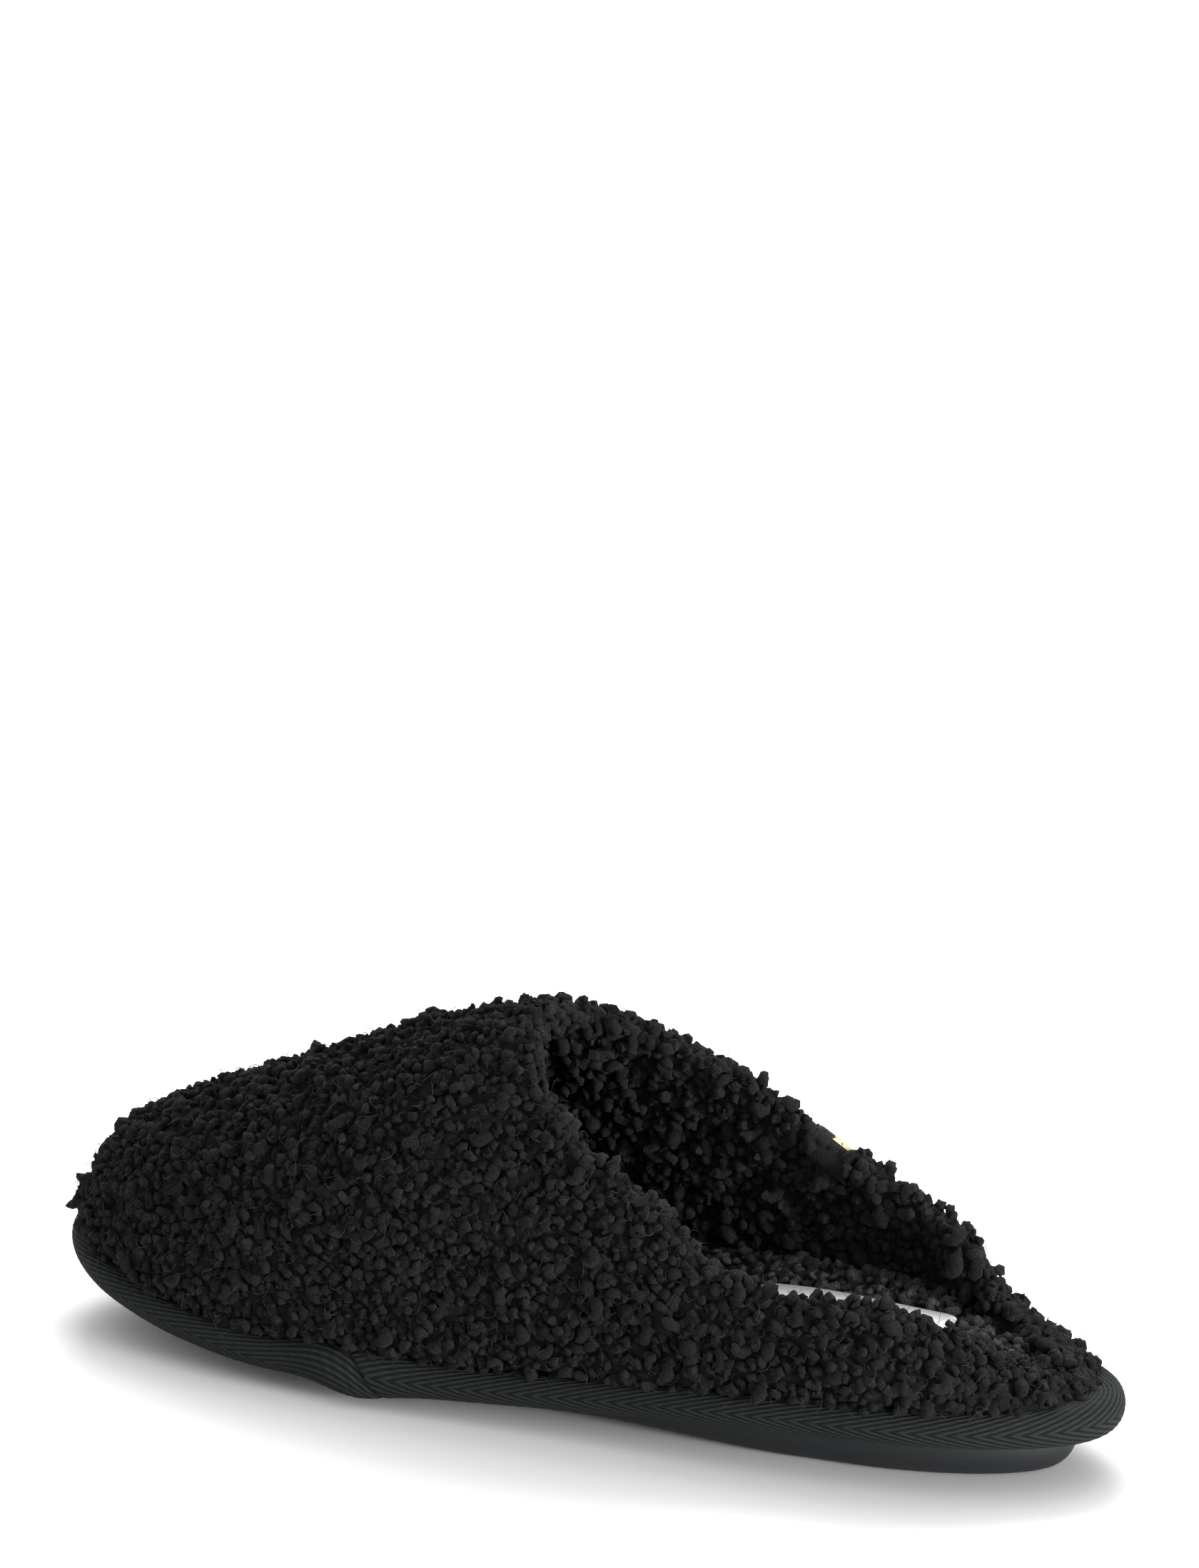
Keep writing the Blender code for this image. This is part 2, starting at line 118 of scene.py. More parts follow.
def declare(piece, slot, *nodes):
    """Puts a finished piece on the shoe's one body and hides the CAD nodes that it replaces. slot is not
    used.
    """
    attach(piece, "root")
    if nodes:
        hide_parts(*nodes)
    count = sum(len(p.vertices) - 2 for p in piece.data.polygons)
    print(f"{piece.name}: {count} triangles")


# %% [markdown]
# ## The footbed's outline
# Tape and outsole both follow the edge of the footbed, so the outline is worked out once,
# from the same widths and heights as the CAD part. Two short tables are read smoothly, and
# the ends are rounded as ellipses. The ring starts at the lap of the tape, at the inner
# side of the ball, and runs to the heel, along the outer side and round the toe.

# %% Outline
LENGTH = 270 * MM
BALL_WIDTH = 98 * MM
HEEL_STAND = 15.0 * MM
FORE_STAND = 8.4 * MM
TOE_SPRING = 12.5 * MM
ARCH_LIFT = 1.6 * MM
HEEL_ROUND = 0.20
TOE_ROUND = 0.28
SIDE_POINTS = 1200
OUTLINE = (
    # along, half, shift
    (0.00, 0.69, -0.035),
    (0.10, 0.72, -0.030),
    (0.20, 0.79, -0.014),
    (0.30, 0.85, -0.008),
    (0.42, 0.88, 0.006),
    (0.55, 0.95, 0.020),
    (0.65, 1.00, 0.028),
    (0.75, 1.00, 0.036),
    (0.85, 1.00, 0.030),
    (0.93, 1.00, 0.010),
    (1.00, 1.00, -0.006),
)
BED = (
    # along, heel stand, fore stand, toe spring, arch lift
    (0.00, 1.00, 0.00, 0.00, 0.0),
    (0.25, 0.95, 0.00, 0.00, 0.0),
    (0.45, 0.50, 0.34, 0.00, 1.0),
    (0.60, 0.00, 1.00, 0.00, 0.0),
    (0.72, 0.00, 1.00, 0.00, 0.0),
    (0.82, 0.00, 1.00, 0.19, 0.0),
    (0.91, 0.00, 1.00, 0.53, 0.0),
    (1.00, 0.00, 1.00, 1.00, 0.0),
)


def rows_at(table, column, at):
    """Smooth values of one column of a table, read at places given in its first column."""
    x = np.array([row[0] for row in table])
    y = np.array([row[column] for row in table])
    secant = np.diff(y) / np.diff(x)
    slope = np.zeros_like(y)
    slope[0], slope[-1] = secant[0], secant[-1]
    same = secant[:-1] * secant[1:] > 0
    total = np.where(same, secant[:-1] + secant[1:], 1.0)
    slope[1:-1] = np.where(same, 2 * secant[:-1] * secant[1:] / total, 0.0)
    at = np.clip(at, x[0], x[-1])
    k = np.clip(np.searchsorted(x, at, side="right") - 1, 0, len(x) - 2)
    width = x[k + 1] - x[k]
    u = (at - x[k]) / width
    return (
        y[k] * (1 + 2 * u) * (1 - u) ** 2 + slope[k] * width * u * (1 - u) ** 2
        + y[k + 1] * u * u * (3 - 2 * u) + slope[k + 1] * width * u * u * (u - 1)
    )


def side_line(side, count=SIDE_POINTS):
    """One side of the footbed in plan, from heel to toe; side is -1 inner, 1 outer."""
    along = (1 - np.cos(np.linspace(0, pi, count))) / 2
    back = np.clip(1 - along / HEEL_ROUND, 0, 1)
    front = np.clip(1 - (1 - along) / TOE_ROUND, 0, 1)
    half = rows_at(OUTLINE, 1, along) * BALL_WIDTH / 2 * np.sqrt(1 - back**2) * np.sqrt(1 - front**2)
    shift = rows_at(OUTLINE, 2, along) * BALL_WIDTH
    return np.stack([shift + side * half, along * LENGTH], axis=1)


def bed_height(y):
    """Height of the tape's middle line over the floor; y runs from the heel."""
    along = y / LENGTH
    return (rows_at(BED, 1, along) * HEEL_STAND + rows_at(BED, 2, along) * FORE_STAND
            + rows_at(BED, 3, along) * TOE_SPRING)


def floor_height(y):
    """Height of the outsole's underside over the floor."""
    along = y / LENGTH
    return rows_at(BED, 3, along) * TOE_SPRING + rows_at(BED, 4, along) * ARCH_LIFT


LAP_PLACE = 0.625 * LENGTH      # the tape's ends meet here, at the inner side of the ball
RING_STEP = 0.5 * MM
CHORD = 4                       # columns to each side that give the ring's direction

inner_line, outer_line = side_line(-1), side_line(1)
ring = np.concatenate([inner_line[::-1], outer_line[1:-1]])
lap_at = np.argmin(np.abs(ring[:SIDE_POINTS, 1] - LAP_PLACE))
ring = np.roll(ring, -lap_at, axis=0)
steps = np.linalg.norm(np.roll(ring, -1, axis=0) - ring, axis=1)
run = np.concatenate([[0], np.cumsum(steps)])
GIRTH = run[-1]
COLUMNS = int(GIRTH / RING_STEP)
U = np.arange(COLUMNS) * GIRTH / COLUMNS
closed = np.concatenate([ring, ring[:1]])
RING = np.stack([np.interp(U, run, closed[:, k]) for k in range(2)], axis=1)
chord = np.roll(RING, -CHORD, axis=0) - np.roll(RING, CHORD, axis=0)
INWARD = np.stack([-chord[:, 1], chord[:, 0]], axis=1)
INWARD /= np.linalg.norm(INWARD, axis=1)[:, None]
SHIFT = np.array([-(ring[:, 0].max() + ring[:, 0].min()) / 2, -LENGTH / 2, 0])
print(f"girth {GIRTH / MM:.0f} mm in {COLUMNS} columns, shift {SHIFT[0] / MM:.2f} mm")


def ring_faces(rings, size, around):
    """Quads between rings of equal size; around joins the last ring to the first."""
    row, k = np.meshgrid(np.arange(rings if around else rings - 1), np.arange(size), indexing="ij")
    above, after = (row + 1) % rings, (k + 1) % size
    quads = np.stack([row * size + k, above * size + k, above * size + after, row * size + after], axis=-1)
    return quads.reshape(-1, 4).tolist()


# %% [markdown]
# ## Teddy fleece
# Teddy fleece is a knitted ground cloth with long polyester pile that is tumbled until it
# clumps into fat curls, about 3 mm across. Light sinks in between the curls, and the tips
# catch it with a soft sheen. A hair system would not survive the export, and a bump map
# leaves the edge of the shoe smooth, so the curls are real meshes: short fat spirals.
# The shader paints their roots darker, as painted shade deep in the pile, and a fine bump
# stands for single fibres, drawn coarser than the real 0.03 mm so that it shows. The same
# fibre noise darkens the colour in between, painted shade between the fibres.

# %% Fleece materials
FIBRE = 0.65 * MM               # size of the fibre noise in bump and colour
CLOUD = 9 * MM                  # size of the soft lighter and darker patches


def fleece_material(name, root, tip):
    """Curled polyester pile: root and tip are the colours deep in the pile and at its tips; the darker root
    is painted shade.
    """
    material, tree, shader = new_material(
        name, tip, Roughness=0.95, Sheen_Weight=0.03, Sheen_Roughness=0.6, Specular_IOR_Level=0.08)
    place = add(tree, "ShaderNodeTexCoord").outputs["Object"]
    # painted shade: the colour runs from a dark root, deep in the pile, to a lighter tip
    tipward = add(tree, "ShaderNodeAttribute", attribute_name="tipward").outputs["Fac"]
    cloud = add(tree, "ShaderNodeTexNoise", [("Vector", place), ("Scale", 1 / CLOUD), ("Detail", 2.0)])
    lift = add(tree, "ShaderNodeMath", [(0, cloud.outputs["Fac"]), (1, 0.6), (2, -0.3)],
               operation="MULTIPLY_ADD")
    share = add(tree, "ShaderNodeMath", [(0, tipward), (1, lift.outputs[0])], operation="ADD")
    fibre = add(tree, "ShaderNodeTexNoise",
                [("Vector", place), ("Scale", 1 / FIBRE), ("Detail", 2.0), ("Distortion", 2.0)])
    # painted shade: the fibre noise also darkens the colour between single fibres
    strand = add(tree, "ShaderNodeMath", [(0, fibre.outputs["Fac"]), (1, 3.6), (2, -1.8)],
                 operation="MULTIPLY_ADD")
    share = add(tree, "ShaderNodeMath", [(0, share.outputs[0]), (1, strand.outputs[0])], operation="ADD",
                use_clamp=True)
    colour = add(tree, "ShaderNodeMix", [(0, share.outputs[0]), (6, linear(root)), (7, linear(tip))],
                 data_type="RGBA")
    bump = add(tree, "ShaderNodeBump",
               [("Strength", 1.0), ("Distance", 1.4 * FIBRE), ("Height", fibre.outputs["Fac"])])
    tree.links.new(colour.outputs[2], shader.inputs["Base Color"])
    tree.links.new(bump.outputs["Normal"], shader.inputs["Normal"])
    return material


fleece = fleece_material("polyester_teddy_fleece", "#0e0e0f", "#222324")
# the same fleece painted a little lighter inside the shoe: painted light in the shade of the walls
lightened_inside_pile = fleece_material("polyester_teddy_inside_painted_lighter", "#121313", "#252627")
# the same fleece painted much lighter on the insole: painted light where light falls on it
lit_insole_pile = fleece_material("polyester_teddy_insole_painted_lighter", "#242526", "#4b4d4e")
# the same black fibre painted lighter: a painted highlight where single fibres catch the light
loose = fleece_material("loose_polyester_fibre_painted_lighter", "#2c2d2e", "#505153")
ground = fleece_material("knitted_ground_cloth", "#121213", "#1f2021")

# %% [markdown]
# The curl tree scatters spirals on the ground cloth. Points are spread with an even least
# distance, as the clumps are, each takes one of a few curl shapes, leans down the nap and
# turns at random. Named inputs hold the sizes; one zone of the cloth is filled at a time.

# %% Curl tree
CURL_SHAPES = (
    # turns, then in mm: first radius, last radius, height, the strand's radius
    (0.80, 1.20, 0.70, 1.8, 1.35),
    (0.65, 1.50, 0.95, 2.6, 1.40),
    (1.00, 1.05, 0.55, 1.6, 1.30),
    (0.60, 1.10, 0.80, 1.4, 1.75),
    (1.15, 1.30, 0.70, 2.3, 1.10),
)
SIZES = (0.65, 1.3)             # the least and the greatest size of a curl
LUMP = 1.3 * MM                 # size of the noise that makes the strands uneven


def curl_tree(name, shapes, points_a_turn, sides):
    """A Geometry Nodes tree that covers one zone of a cloth with curls."""
    tree = bpy.data.node_groups.new(name, "GeometryNodeTree")
    for socket, kind in (("Cloth", "Geometry"), ("Zone", "Int"), ("Spacing", "Float"), ("Seed", "Int"),
                         ("Size", "Float"), ("Lean", "Vector"), ("Wander", "Float"), ("Sink", "Float"),
                         ("Lumps", "Float"), ("Material", "Material")):
        tree.interface.new_socket(socket, in_out="INPUT", socket_type="NodeSocket" + kind)
    tree.interface.new_socket("Curls", in_out="OUTPUT", socket_type="NodeSocketGeometry")
    given = add(tree, "NodeGroupInput").outputs
    zone = add(tree, "GeometryNodeInputNamedAttribute", [("Name", "zone")], data_type="INT")
    elsewhere = add(tree, "FunctionNodeCompare", [(2, zone.outputs["Attribute"]), (3, given["Zone"])],
                    data_type="INT", operation="NOT_EQUAL")
    field = add(tree, "GeometryNodeDeleteGeometry",
                [("Geometry", given["Cloth"]), ("Selection", elsewhere.outputs[0])], domain="FACE")
    spread = add(tree, "GeometryNodeDistributePointsOnFaces",
                 [("Mesh", field.outputs[0]), ("Distance Min", given["Spacing"]), ("Density Max", 4e6),
                  ("Seed", given["Seed"])], distribute_method="POISSON")
    kinds = add(tree, "GeometryNodeJoinGeometry")
    share = add(tree, "GeometryNodeSplineParameter").outputs["Factor"]
    # a strand is two thirds as thick at its ends as in the middle
    swell = add(tree, "ShaderNodeMath", [(0, share), (1, 1.7), (2, 0.75)], operation="MULTIPLY_ADD")
    arch = add(tree, "ShaderNodeMath", [(0, swell.outputs[0])], operation="SINE")
    for turns, first, last, height, thick in shapes:
        spiral = add(tree, "GeometryNodeCurveSpiral",
                     [("Resolution", points_a_turn), ("Rotations", turns), ("Start Radius", first * MM),
                      ("End Radius", last * MM), ("Height", height * MM)])
        # tipward runs from root to tip, so that the shader can paint shade at the root
        marked = add(tree, "GeometryNodeStoreNamedAttribute",
                     [("Geometry", spiral.outputs[0]), ("Name", "tipward"), ("Value", share)],
                     data_type="FLOAT", domain="POINT")
        radius = add(tree, "ShaderNodeMath", [(0, arch.outputs[0]), (1, thick * MM)], operation="MULTIPLY")
        section = add(tree, "GeometryNodeCurvePrimitiveCircle", [("Resolution", sides), ("Radius", 1.0)])
        tube = add(tree, "GeometryNodeCurveToMesh",
                   [("Curve", marked.outputs[0]), ("Profile Curve", section.outputs[0]),
                    ("Scale", radius.outputs[0]), ("Fill Caps", True)])
        part = add(tree, "GeometryNodeGeometryToInstance", [("Geometry", tube.outputs[0])])
        tree.links.new(part.outputs[0], kinds.inputs[0])
    stray = add(tree, "FunctionNodeRandomValue",
                [(0, (-1.0, -1.0, -1.0)), (1, (1.0, 1.0, 1.0)), ("Seed", given["Seed"])],
                data_type="FLOAT_VECTOR")
    stray = add(tree, "ShaderNodeVectorMath", [(0, stray.outputs[0]), ("Scale", given["Wander"])],
                operation="SCALE")
    way = add(tree, "ShaderNodeVectorMath", [(0, spread.outputs["Normal"]), (1, given["Lean"])],
              operation="ADD")
    way = add(tree, "ShaderNodeVectorMath", [(0, way.outputs[0]), (1, stray.outputs[0])], operation="ADD")
    upright = add(tree, "FunctionNodeAlignRotationToVector", [("Vector", way.outputs[0])], axis="Z")
    angle = add(tree, "FunctionNodeRandomValue", [(2, 0.0), (3, tau), ("Seed", given["Seed"])],
                data_type="FLOAT")
    twist = add(tree, "FunctionNodeAxisAngleToRotation",
                [("Axis", (0.0, 0.0, 1.0)), ("Angle", angle.outputs[1])])
    turned = add(tree, "FunctionNodeRotateRotation",
                 [("Rotation", upright.outputs[0]), ("Rotate By", twist.outputs[0])],
                 rotation_space="LOCAL")
    grow = add(tree, "FunctionNodeRandomValue", [(2, SIZES[0]), (3, SIZES[1]), ("Seed", given["Seed"])],
               data_type="FLOAT")
    size = add(tree, "ShaderNodeMath", [(0, grow.outputs[1]), (1, given["Size"])], operation="MULTIPLY")
    sunk = add(tree, "ShaderNodeVectorMath", [(0, spread.outputs["Normal"]), ("Scale", given["Sink"])],
               operation="SCALE")
    rooted = add(tree, "GeometryNodeSetPosition",
                 [("Geometry", spread.outputs["Points"]), ("Offset", sunk.outputs[0])])
    curls = add(tree, "GeometryNodeInstanceOnPoints",
                [("Points", rooted.outputs[0]), ("Instance", kinds.outputs[0]), ("Pick Instance", True),
                 ("Rotation", turned.outputs[0]), ("Scale", size.outputs[0])])
    real = add(tree, "GeometryNodeRealizeInstances", [("Geometry", curls.outputs[0])])
    smooth = add(tree, "GeometryNodeSetShadeSmooth", [("Geometry", real.outputs[0])])
    lump = add(tree, "ShaderNodeTexNoise", [("Scale", 1 / LUMP), ("Detail", 1.0)])
    push = add(tree, "ShaderNodeVectorMath", [(0, lump.outputs["Color"]), (1, (0.5, 0.5, 0.5))],
               operation="SUBTRACT")
    push = add(tree, "ShaderNodeVectorMath", [(0, push.outputs[0]), ("Scale", given["Lumps"])],
               operation="SCALE")
    lumpy = add(tree, "GeometryNodeSetPosition",
                [("Geometry", smooth.outputs[0]), ("Offset", push.outputs[0])])
    finish = add(tree, "GeometryNodeSetMaterial",
                 [("Geometry", lumpy.outputs[0]), ("Material", given["Material"])])
    add(tree, "NodeGroupOutput", [("Curls", finish.outputs[0])])
    return tree


def grown(name, tree, cloth, **inputs):
    """Runs a tree on a copy of a cloth and returns the result as a plain mesh object."""
    carrier = placed(name + ".carrier", cloth)
    modifier = carrier.modifiers.new("tree", "NODES")
    modifier.node_group = tree
    for socket in tree.interface.items_tree:
        if socket.in_out == "INPUT" and socket.name in inputs:
            modifier[socket.identifier] = inputs[socket.name]
    graph = bpy.context.evaluated_depsgraph_get()
    mesh = bpy.data.meshes.new_from_object(carrier.evaluated_get(graph), depsgraph=graph)
    mesh.name = name
    bpy.data.objects.remove(carrier)
    return placed(name, mesh)


curls = curl_tree("fleece curls", CURL_SHAPES, points_a_turn=8, sides=6)

# %% [markdown]
# ## Ground cloth of the upper
# The ground cloth has the CAD upper's form, a little inside it, so that the curls on it
# reach the CAD surface. The CAD mesh is loose triangles: a copy is merged, turned back to
# four-sided faces and smoothed by two levels of subdivision. At the heel it stands back
# from the tape's edge, and its rim is lower than the CAD wall's, as in the photo.

# %% Ground cloth
CLOTH_DEPTH = 0.6 * MM          # the cloth lies this far inside the CAD surface
TAPE_TOP = 4 * MM               # of the tape over its middle line
PUFF = 1.6 * MM                 # how far the wall bulges out just over the tape
PUFF_HEIGHT = 5 * MM
HEEL_SET = 4.5 * MM             # the pile stands back from the tape's edge at the heel
HEEL_SET_END = 45 * MM
HEEL_DROP = 4.0 * MM            # and the rim is this much lower at the heel end
HEEL_DROP_HEIGHT = 6 * MM
AXIS_SIDE, AXIS_RISE = -2 * MM, 12 * MM         # a line through the middle of the foot's space
AXIS_HEEL, AXIS_TOE = -85 * MM, 95 * MM
CLOTH_LUMP = 5.0 * MM           # size of the lumps that the pile's roots make in the cloth
CLOTH_RELIEF = 1.5 * MM


def smooth_copy(node, levels, sharp=None):
    """A merged, subdivided copy of a CAD node's mesh; edges over the sharp angle stay creased."""
    mesh = bpy.data.meshes.new(node + " copy")
    bm = bmesh.new()
    bm.from_mesh(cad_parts[node].data)
    bmesh.ops.remove_doubles(bm, verts=bm.verts, dist=0.002 * MM)
    bmesh.ops.join_triangles(bm, faces=bm.faces, angle_face_threshold=radians(70),
                             angle_shape_threshold=radians(80))
    if sharp is not None:
        crease = bm.edges.layers.float.new("crease_edge")
        for edge in bm.edges:
            if len(edge.link_faces) == 2 and edge.calc_face_angle() > sharp:
                edge[crease] = 1.0
    bm.to_mesh(mesh)
    bm.free()
    carrier = placed(node + " carrier", mesh)
    subdivision = carrier.modifiers.new("smooth", "SUBSURF")
    subdivision.levels = subdivision.render_levels = levels
    graph = bpy.context.evaluated_depsgraph_get()
    dense = bpy.data.meshes.new_from_object(carrier.evaluated_get(graph), depsgraph=graph)
    bpy.data.objects.remove(carrier)
    return dense


def mesh_arrays(mesh):
    """Vertices, their normals, and the faces' centres, normals and areas."""
    def read(items, key, width):
        values = np.empty(len(items) * width, np.float32)
        items.foreach_get(key, values)
        return values.reshape(-1, width).astype(float)
    return (read(mesh.vertices, "co", 3), read(mesh.vertex_normals, "vector", 3),
            read(mesh.polygons, "center", 3), read(mesh.polygons, "normal", 3),
            read(mesh.polygons, "area", 1)[:, 0])


def pushed(mesh, distance):
    """Moves every vertex along its normal; distance may be an array."""
    points, normals, *_ = mesh_arrays(mesh)
    points += normals * np.broadcast_to(distance, (len(points),))[:, None]
    mesh.vertices.foreach_set("co", points.astype(np.float32).ravel())
    mesh.update()


def mark_zones(mesh, zones):
    """Stores each face's zone for the curl tree."""
    layer = mesh.attributes.new("zone", "INT", "FACE")
    layer.data.foreach_set("value", zones.astype(np.int32))


cloth = smooth_copy("upper", 2)


def from_axis(points):
    """Vectors from a line through the middle of the foot's space to the given points."""
    axis = np.stack([np.full(len(points), AXIS_SIDE), np.clip(points[:, 1], AXIS_HEEL, AXIS_TOE),
                     bed_height(points[:, 1] + LENGTH / 2) + AXIS_RISE], axis=1)
    return points - axis


points, normals, *_ = mesh_arrays(cloth)
over_tape = points[:, 2] - bed_height(points[:, 1] + LENGTH / 2) - TAPE_TOP
outward = (normals * from_axis(points)).sum(1) > 0
puff = PUFF * outward * np.exp(-((over_tape - PUFF_HEIGHT) / PUFF_HEIGHT) ** 2)
lumps = np.array([noise.noise(Vector(point / CLOTH_LUMP)) + noise.noise(Vector(point / CLOTH_LUMP * 2))
                  for point in points]) * CLOTH_RELIEF
pushed(cloth, puff + lumps - CLOTH_DEPTH)
points, *_ = mesh_arrays(cloth)
heelward = np.clip(1 - (points[:, 1] + LENGTH / 2) / HEEL_SET_END, 0, 1)
points[:, 1] += HEEL_SET * heelward**2
points[:, 2] -= HEEL_DROP * heelward * np.clip(over_tape / HEEL_DROP_HEIGHT, 0, 1)
cloth.vertices.foreach_set("co", points.astype(np.float32).ravel())
cloth.update()
_, _, centres, facing, areas = mesh_arrays(cloth)
outside = (facing * from_axis(centres)).sum(1) > 0
print("ground cloth:", len(cloth.polygons), "faces,", round(areas[outside].sum() * 1e4), "cm2 outside,",
      round(areas[~outside].sum() * 1e4), "cm2 inside")

# %% [markdown]
# The outer face is cut in zones of equal area, one mesh each, so that no mesh grows too
# large. Inside, curls grow from the heel only as far in as SIGHT, and none grow where the
# ribbon lies. Past them the ground cloth is bare, which shows from straight behind.

# %% Zones
OUTER_ZONES = 4
SIGHT = 55 * MM                 # the inside is furred from the heel as far as this y
INSIDE, BARE = OUTER_ZONES, OUTER_ZONES + 1
TAB_LOW, TAB_HIGH = 0.8 * MM, 0.2 * MM          # the bare patch against the ribbon's box
TAB_FOLD = 3 * MM               # inside, only this far below the ribbon's fold is bare

order = np.argsort(np.where(outside, centres[:, 1], 1.0))
filled = np.cumsum(np.where(outside, areas, 0)[order])
zones = np.full(len(areas), BARE)
zones[order] = np.minimum((filled / filled[-1] * OUTER_ZONES).astype(int), OUTER_ZONES - 1)
zones[~outside] = np.where(centres[~outside, 1] < SIGHT, INSIDE, BARE)
tab_low, tab_high = (np.array(corner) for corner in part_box("side_tab"))
near_tab = ((centres > tab_low + TAB_LOW) & (centres < tab_high + TAB_HIGH)).all(1)
near_tab &= outside | (centres[:, 2] > tab_high[2] - TAB_FOLD)
zones[near_tab] = BARE
mark_zones(cloth, zones)

covered(cloth, ground)
declare(placed("upper_ground_cloth", cloth), "teddy", "upper")

# %% [markdown]
# The nap of the fleece runs down to the sole, so the curls lean that way.

# %% Curls of the upper
NAP = (0.0, 0.15, -0.75)
for zone in range(OUTER_ZONES):
    piece = grown(f"fleece_curls_{zone + 1}", curls, cloth, Zone=zone, Spacing=2.3 * MM, Seed=11 + zone,
                  Size=0.85, Lean=NAP, Wander=0.85, Sink=0.0, Lumps=1.9 * MM, Material=fleece)
    declare(piece, "teddy")
# the inside curls are painted a little lighter than the outer ones: painted light
piece = grown("fleece_curls_inside", curls, cloth, Zone=INSIDE, Spacing=2.65 * MM, Seed=31,
              Size=1.0, Lean=NAP, Wander=0.85, Sink=-0.3 * MM, Lumps=1.9 * MM, Material=lightened_inside_pile)
declare(piece, "teddy")

# %% [markdown]
# ## Insole
# The insole is foam under the same fleece, pressed flat in the middle and dished up to the
# walls at its sides. Its pile is painted lighter than the upper's: painted light where light
# falls on it. No curls grow under the label, or further in than PAD_SIGHT.

# %% Insole
PAD_DISH = 4 * MM               # how far the cover rises to the walls at its sides
PAD_FLAT = 12 * MM              # half width of its flat middle
PAD_SLOPE = 18 * MM             # width over which it rises
PAD_DEPTH = 1.5 * MM            # its ground cloth lies this far inside the CAD surface
PAD_TOP = 6 * MM                # what lies this far over the tape's middle line is its top
PAD_SIGHT = SIGHT + 20 * MM
LABEL_LENGTH = 50 * MM
LABEL_WIDTH = 32 * MM
LABEL_START = 44 * MM
LABEL_SIDE = -5 * MM
LABEL_CLEAR = 1.5 * MM          # no curl is rooted this near the label, so few poke through it

pad = smooth_copy("insole", 2)
pushed(pad, -PAD_DEPTH)
points, *_ = mesh_arrays(pad)
dish = np.clip((np.abs(points[:, 0] - SHIFT[0]) - PAD_FLAT) / PAD_SLOPE, 0, 1)
points[:, 2] += PAD_DISH * dish * (points[:, 2] > bed_height(points[:, 1] + LENGTH / 2) + PAD_TOP)
pad.vertices.foreach_set("co", points.astype(np.float32).ravel())
pad.update()
_, _, centres, facing, _ = mesh_arrays(pad)
along = centres[:, 1] + LENGTH / 2
sideways = centres[:, 0] - SHIFT[0] - LABEL_SIDE
under_label = ((np.abs(sideways) < LABEL_WIDTH / 2 + LABEL_CLEAR)
               & (np.abs(along - LABEL_START - LABEL_LENGTH / 2) < LABEL_LENGTH / 2 + LABEL_CLEAR))
pad_top = (facing[:, 2] > 0.35) & (centres[:, 2] > bed_height(along) + PAD_TOP)
mark_zones(pad, np.where(pad_top & ~under_label & (centres[:, 1] < PAD_SIGHT), 0, 1))
covered(pad, ground)
insole = placed("insole_pad", pad)
declare(insole, "insole_teddy", "insole")
piece = grown("insole_curls", curls, pad, Zone=0, Spacing=2.5 * MM, Seed=51,
              Size=0.85, Lean=(0.0, 0.1, 0.0), Wander=0.9, Sink=0.0, Lumps=1.9 * MM, Material=lit_insole_pile)
declare(piece, "insole_teddy")

# %% [markdown]
# ## Loose fibres
# A few single fibres stand off the pile as thin open loops. They break the edge of the
# shoe against the light, so they are real loops too, drawn 0.1 mm thick so that they show.
# They are painted lighter than the pile: a painted highlight for the light they catch.

# %% Loose fibres
FIBRE_SHAPES = (
    # turns, then in mm: first radius, last radius, height, the strand's radius
    (0.8, 1.2, 0.8, 2.0, 0.060),
    (0.3, 2.0, 1.4, 2.6, 0.055),
    (0.4, 1.5, 1.2, 1.8, 0.055),
    (0.3, 2.4, 2.0, 1.6, 0.050),
)
hairs = curl_tree("loose fibres", FIBRE_SHAPES, points_a_turn=12, sides=3)
for zone in range(OUTER_ZONES):
    piece = grown(f"loose_fibres_{zone + 1}", hairs, cloth, Zone=zone, Spacing=3.2 * MM, Seed=71 + zone,
                  Size=1.0, Lean=(0.0, 0.0, -0.2), Wander=0.8, Sink=1.4 * MM, Lumps=0.3 * MM,
                  Material=loose)
    declare(piece, "teddy")

# %% [markdown]
# ## Herringbone tape
# The edge of the footbed is bound with a cotton-blend herringbone tape, rolled round it.
# The tape is one long sheet, so it is a ring of sections along the outline, with its own
# UV map: u runs along the tape and v across it, both in metres. The ribs are too coarse
# for a bump map alone, so a small tree lifts them along the tape's own normals.

# %% Tape sheet
TAPE_ROLL = 7.6 * MM
TAPE_NOSE = 3.4 * MM
TAPE_WALL = 1.3 * MM
TOP_FLANGE = 8.0 * MM
BOTTOM_FLANGE = 11.5 * MM
LAP_SWELL = 1.3 * MM            # the roll is taller where the ends lap
LAP_REACH = 22 * MM
HEEL_SWELL = 0.9 * MM           # and at the heel, where the tape goes round the tightest bend
HEEL_REACH = 34 * MM
RIB_RUN = 3.8                   # how far a rib runs along for each step across


def tape_section(roll):
    """(inset, lift) pairs from the top flange round the nose to the bottom flange."""
    half = roll / 2
    turn = np.linspace(pi / 2, -pi / 2, 27)
    nose = np.stack([TAPE_NOSE * (1 - np.cos(turn)), half * np.sin(turn)], axis=1)
    top = np.stack([np.linspace(TOP_FLANGE, TAPE_NOSE, 7)[:-1], np.full(6, half)], axis=1)
    low = np.stack([np.linspace(TAPE_NOSE, BOTTOM_FLANGE, 7)[1:], np.full(6, -half)], axis=1)
    return np.concatenate([top, nose, low])


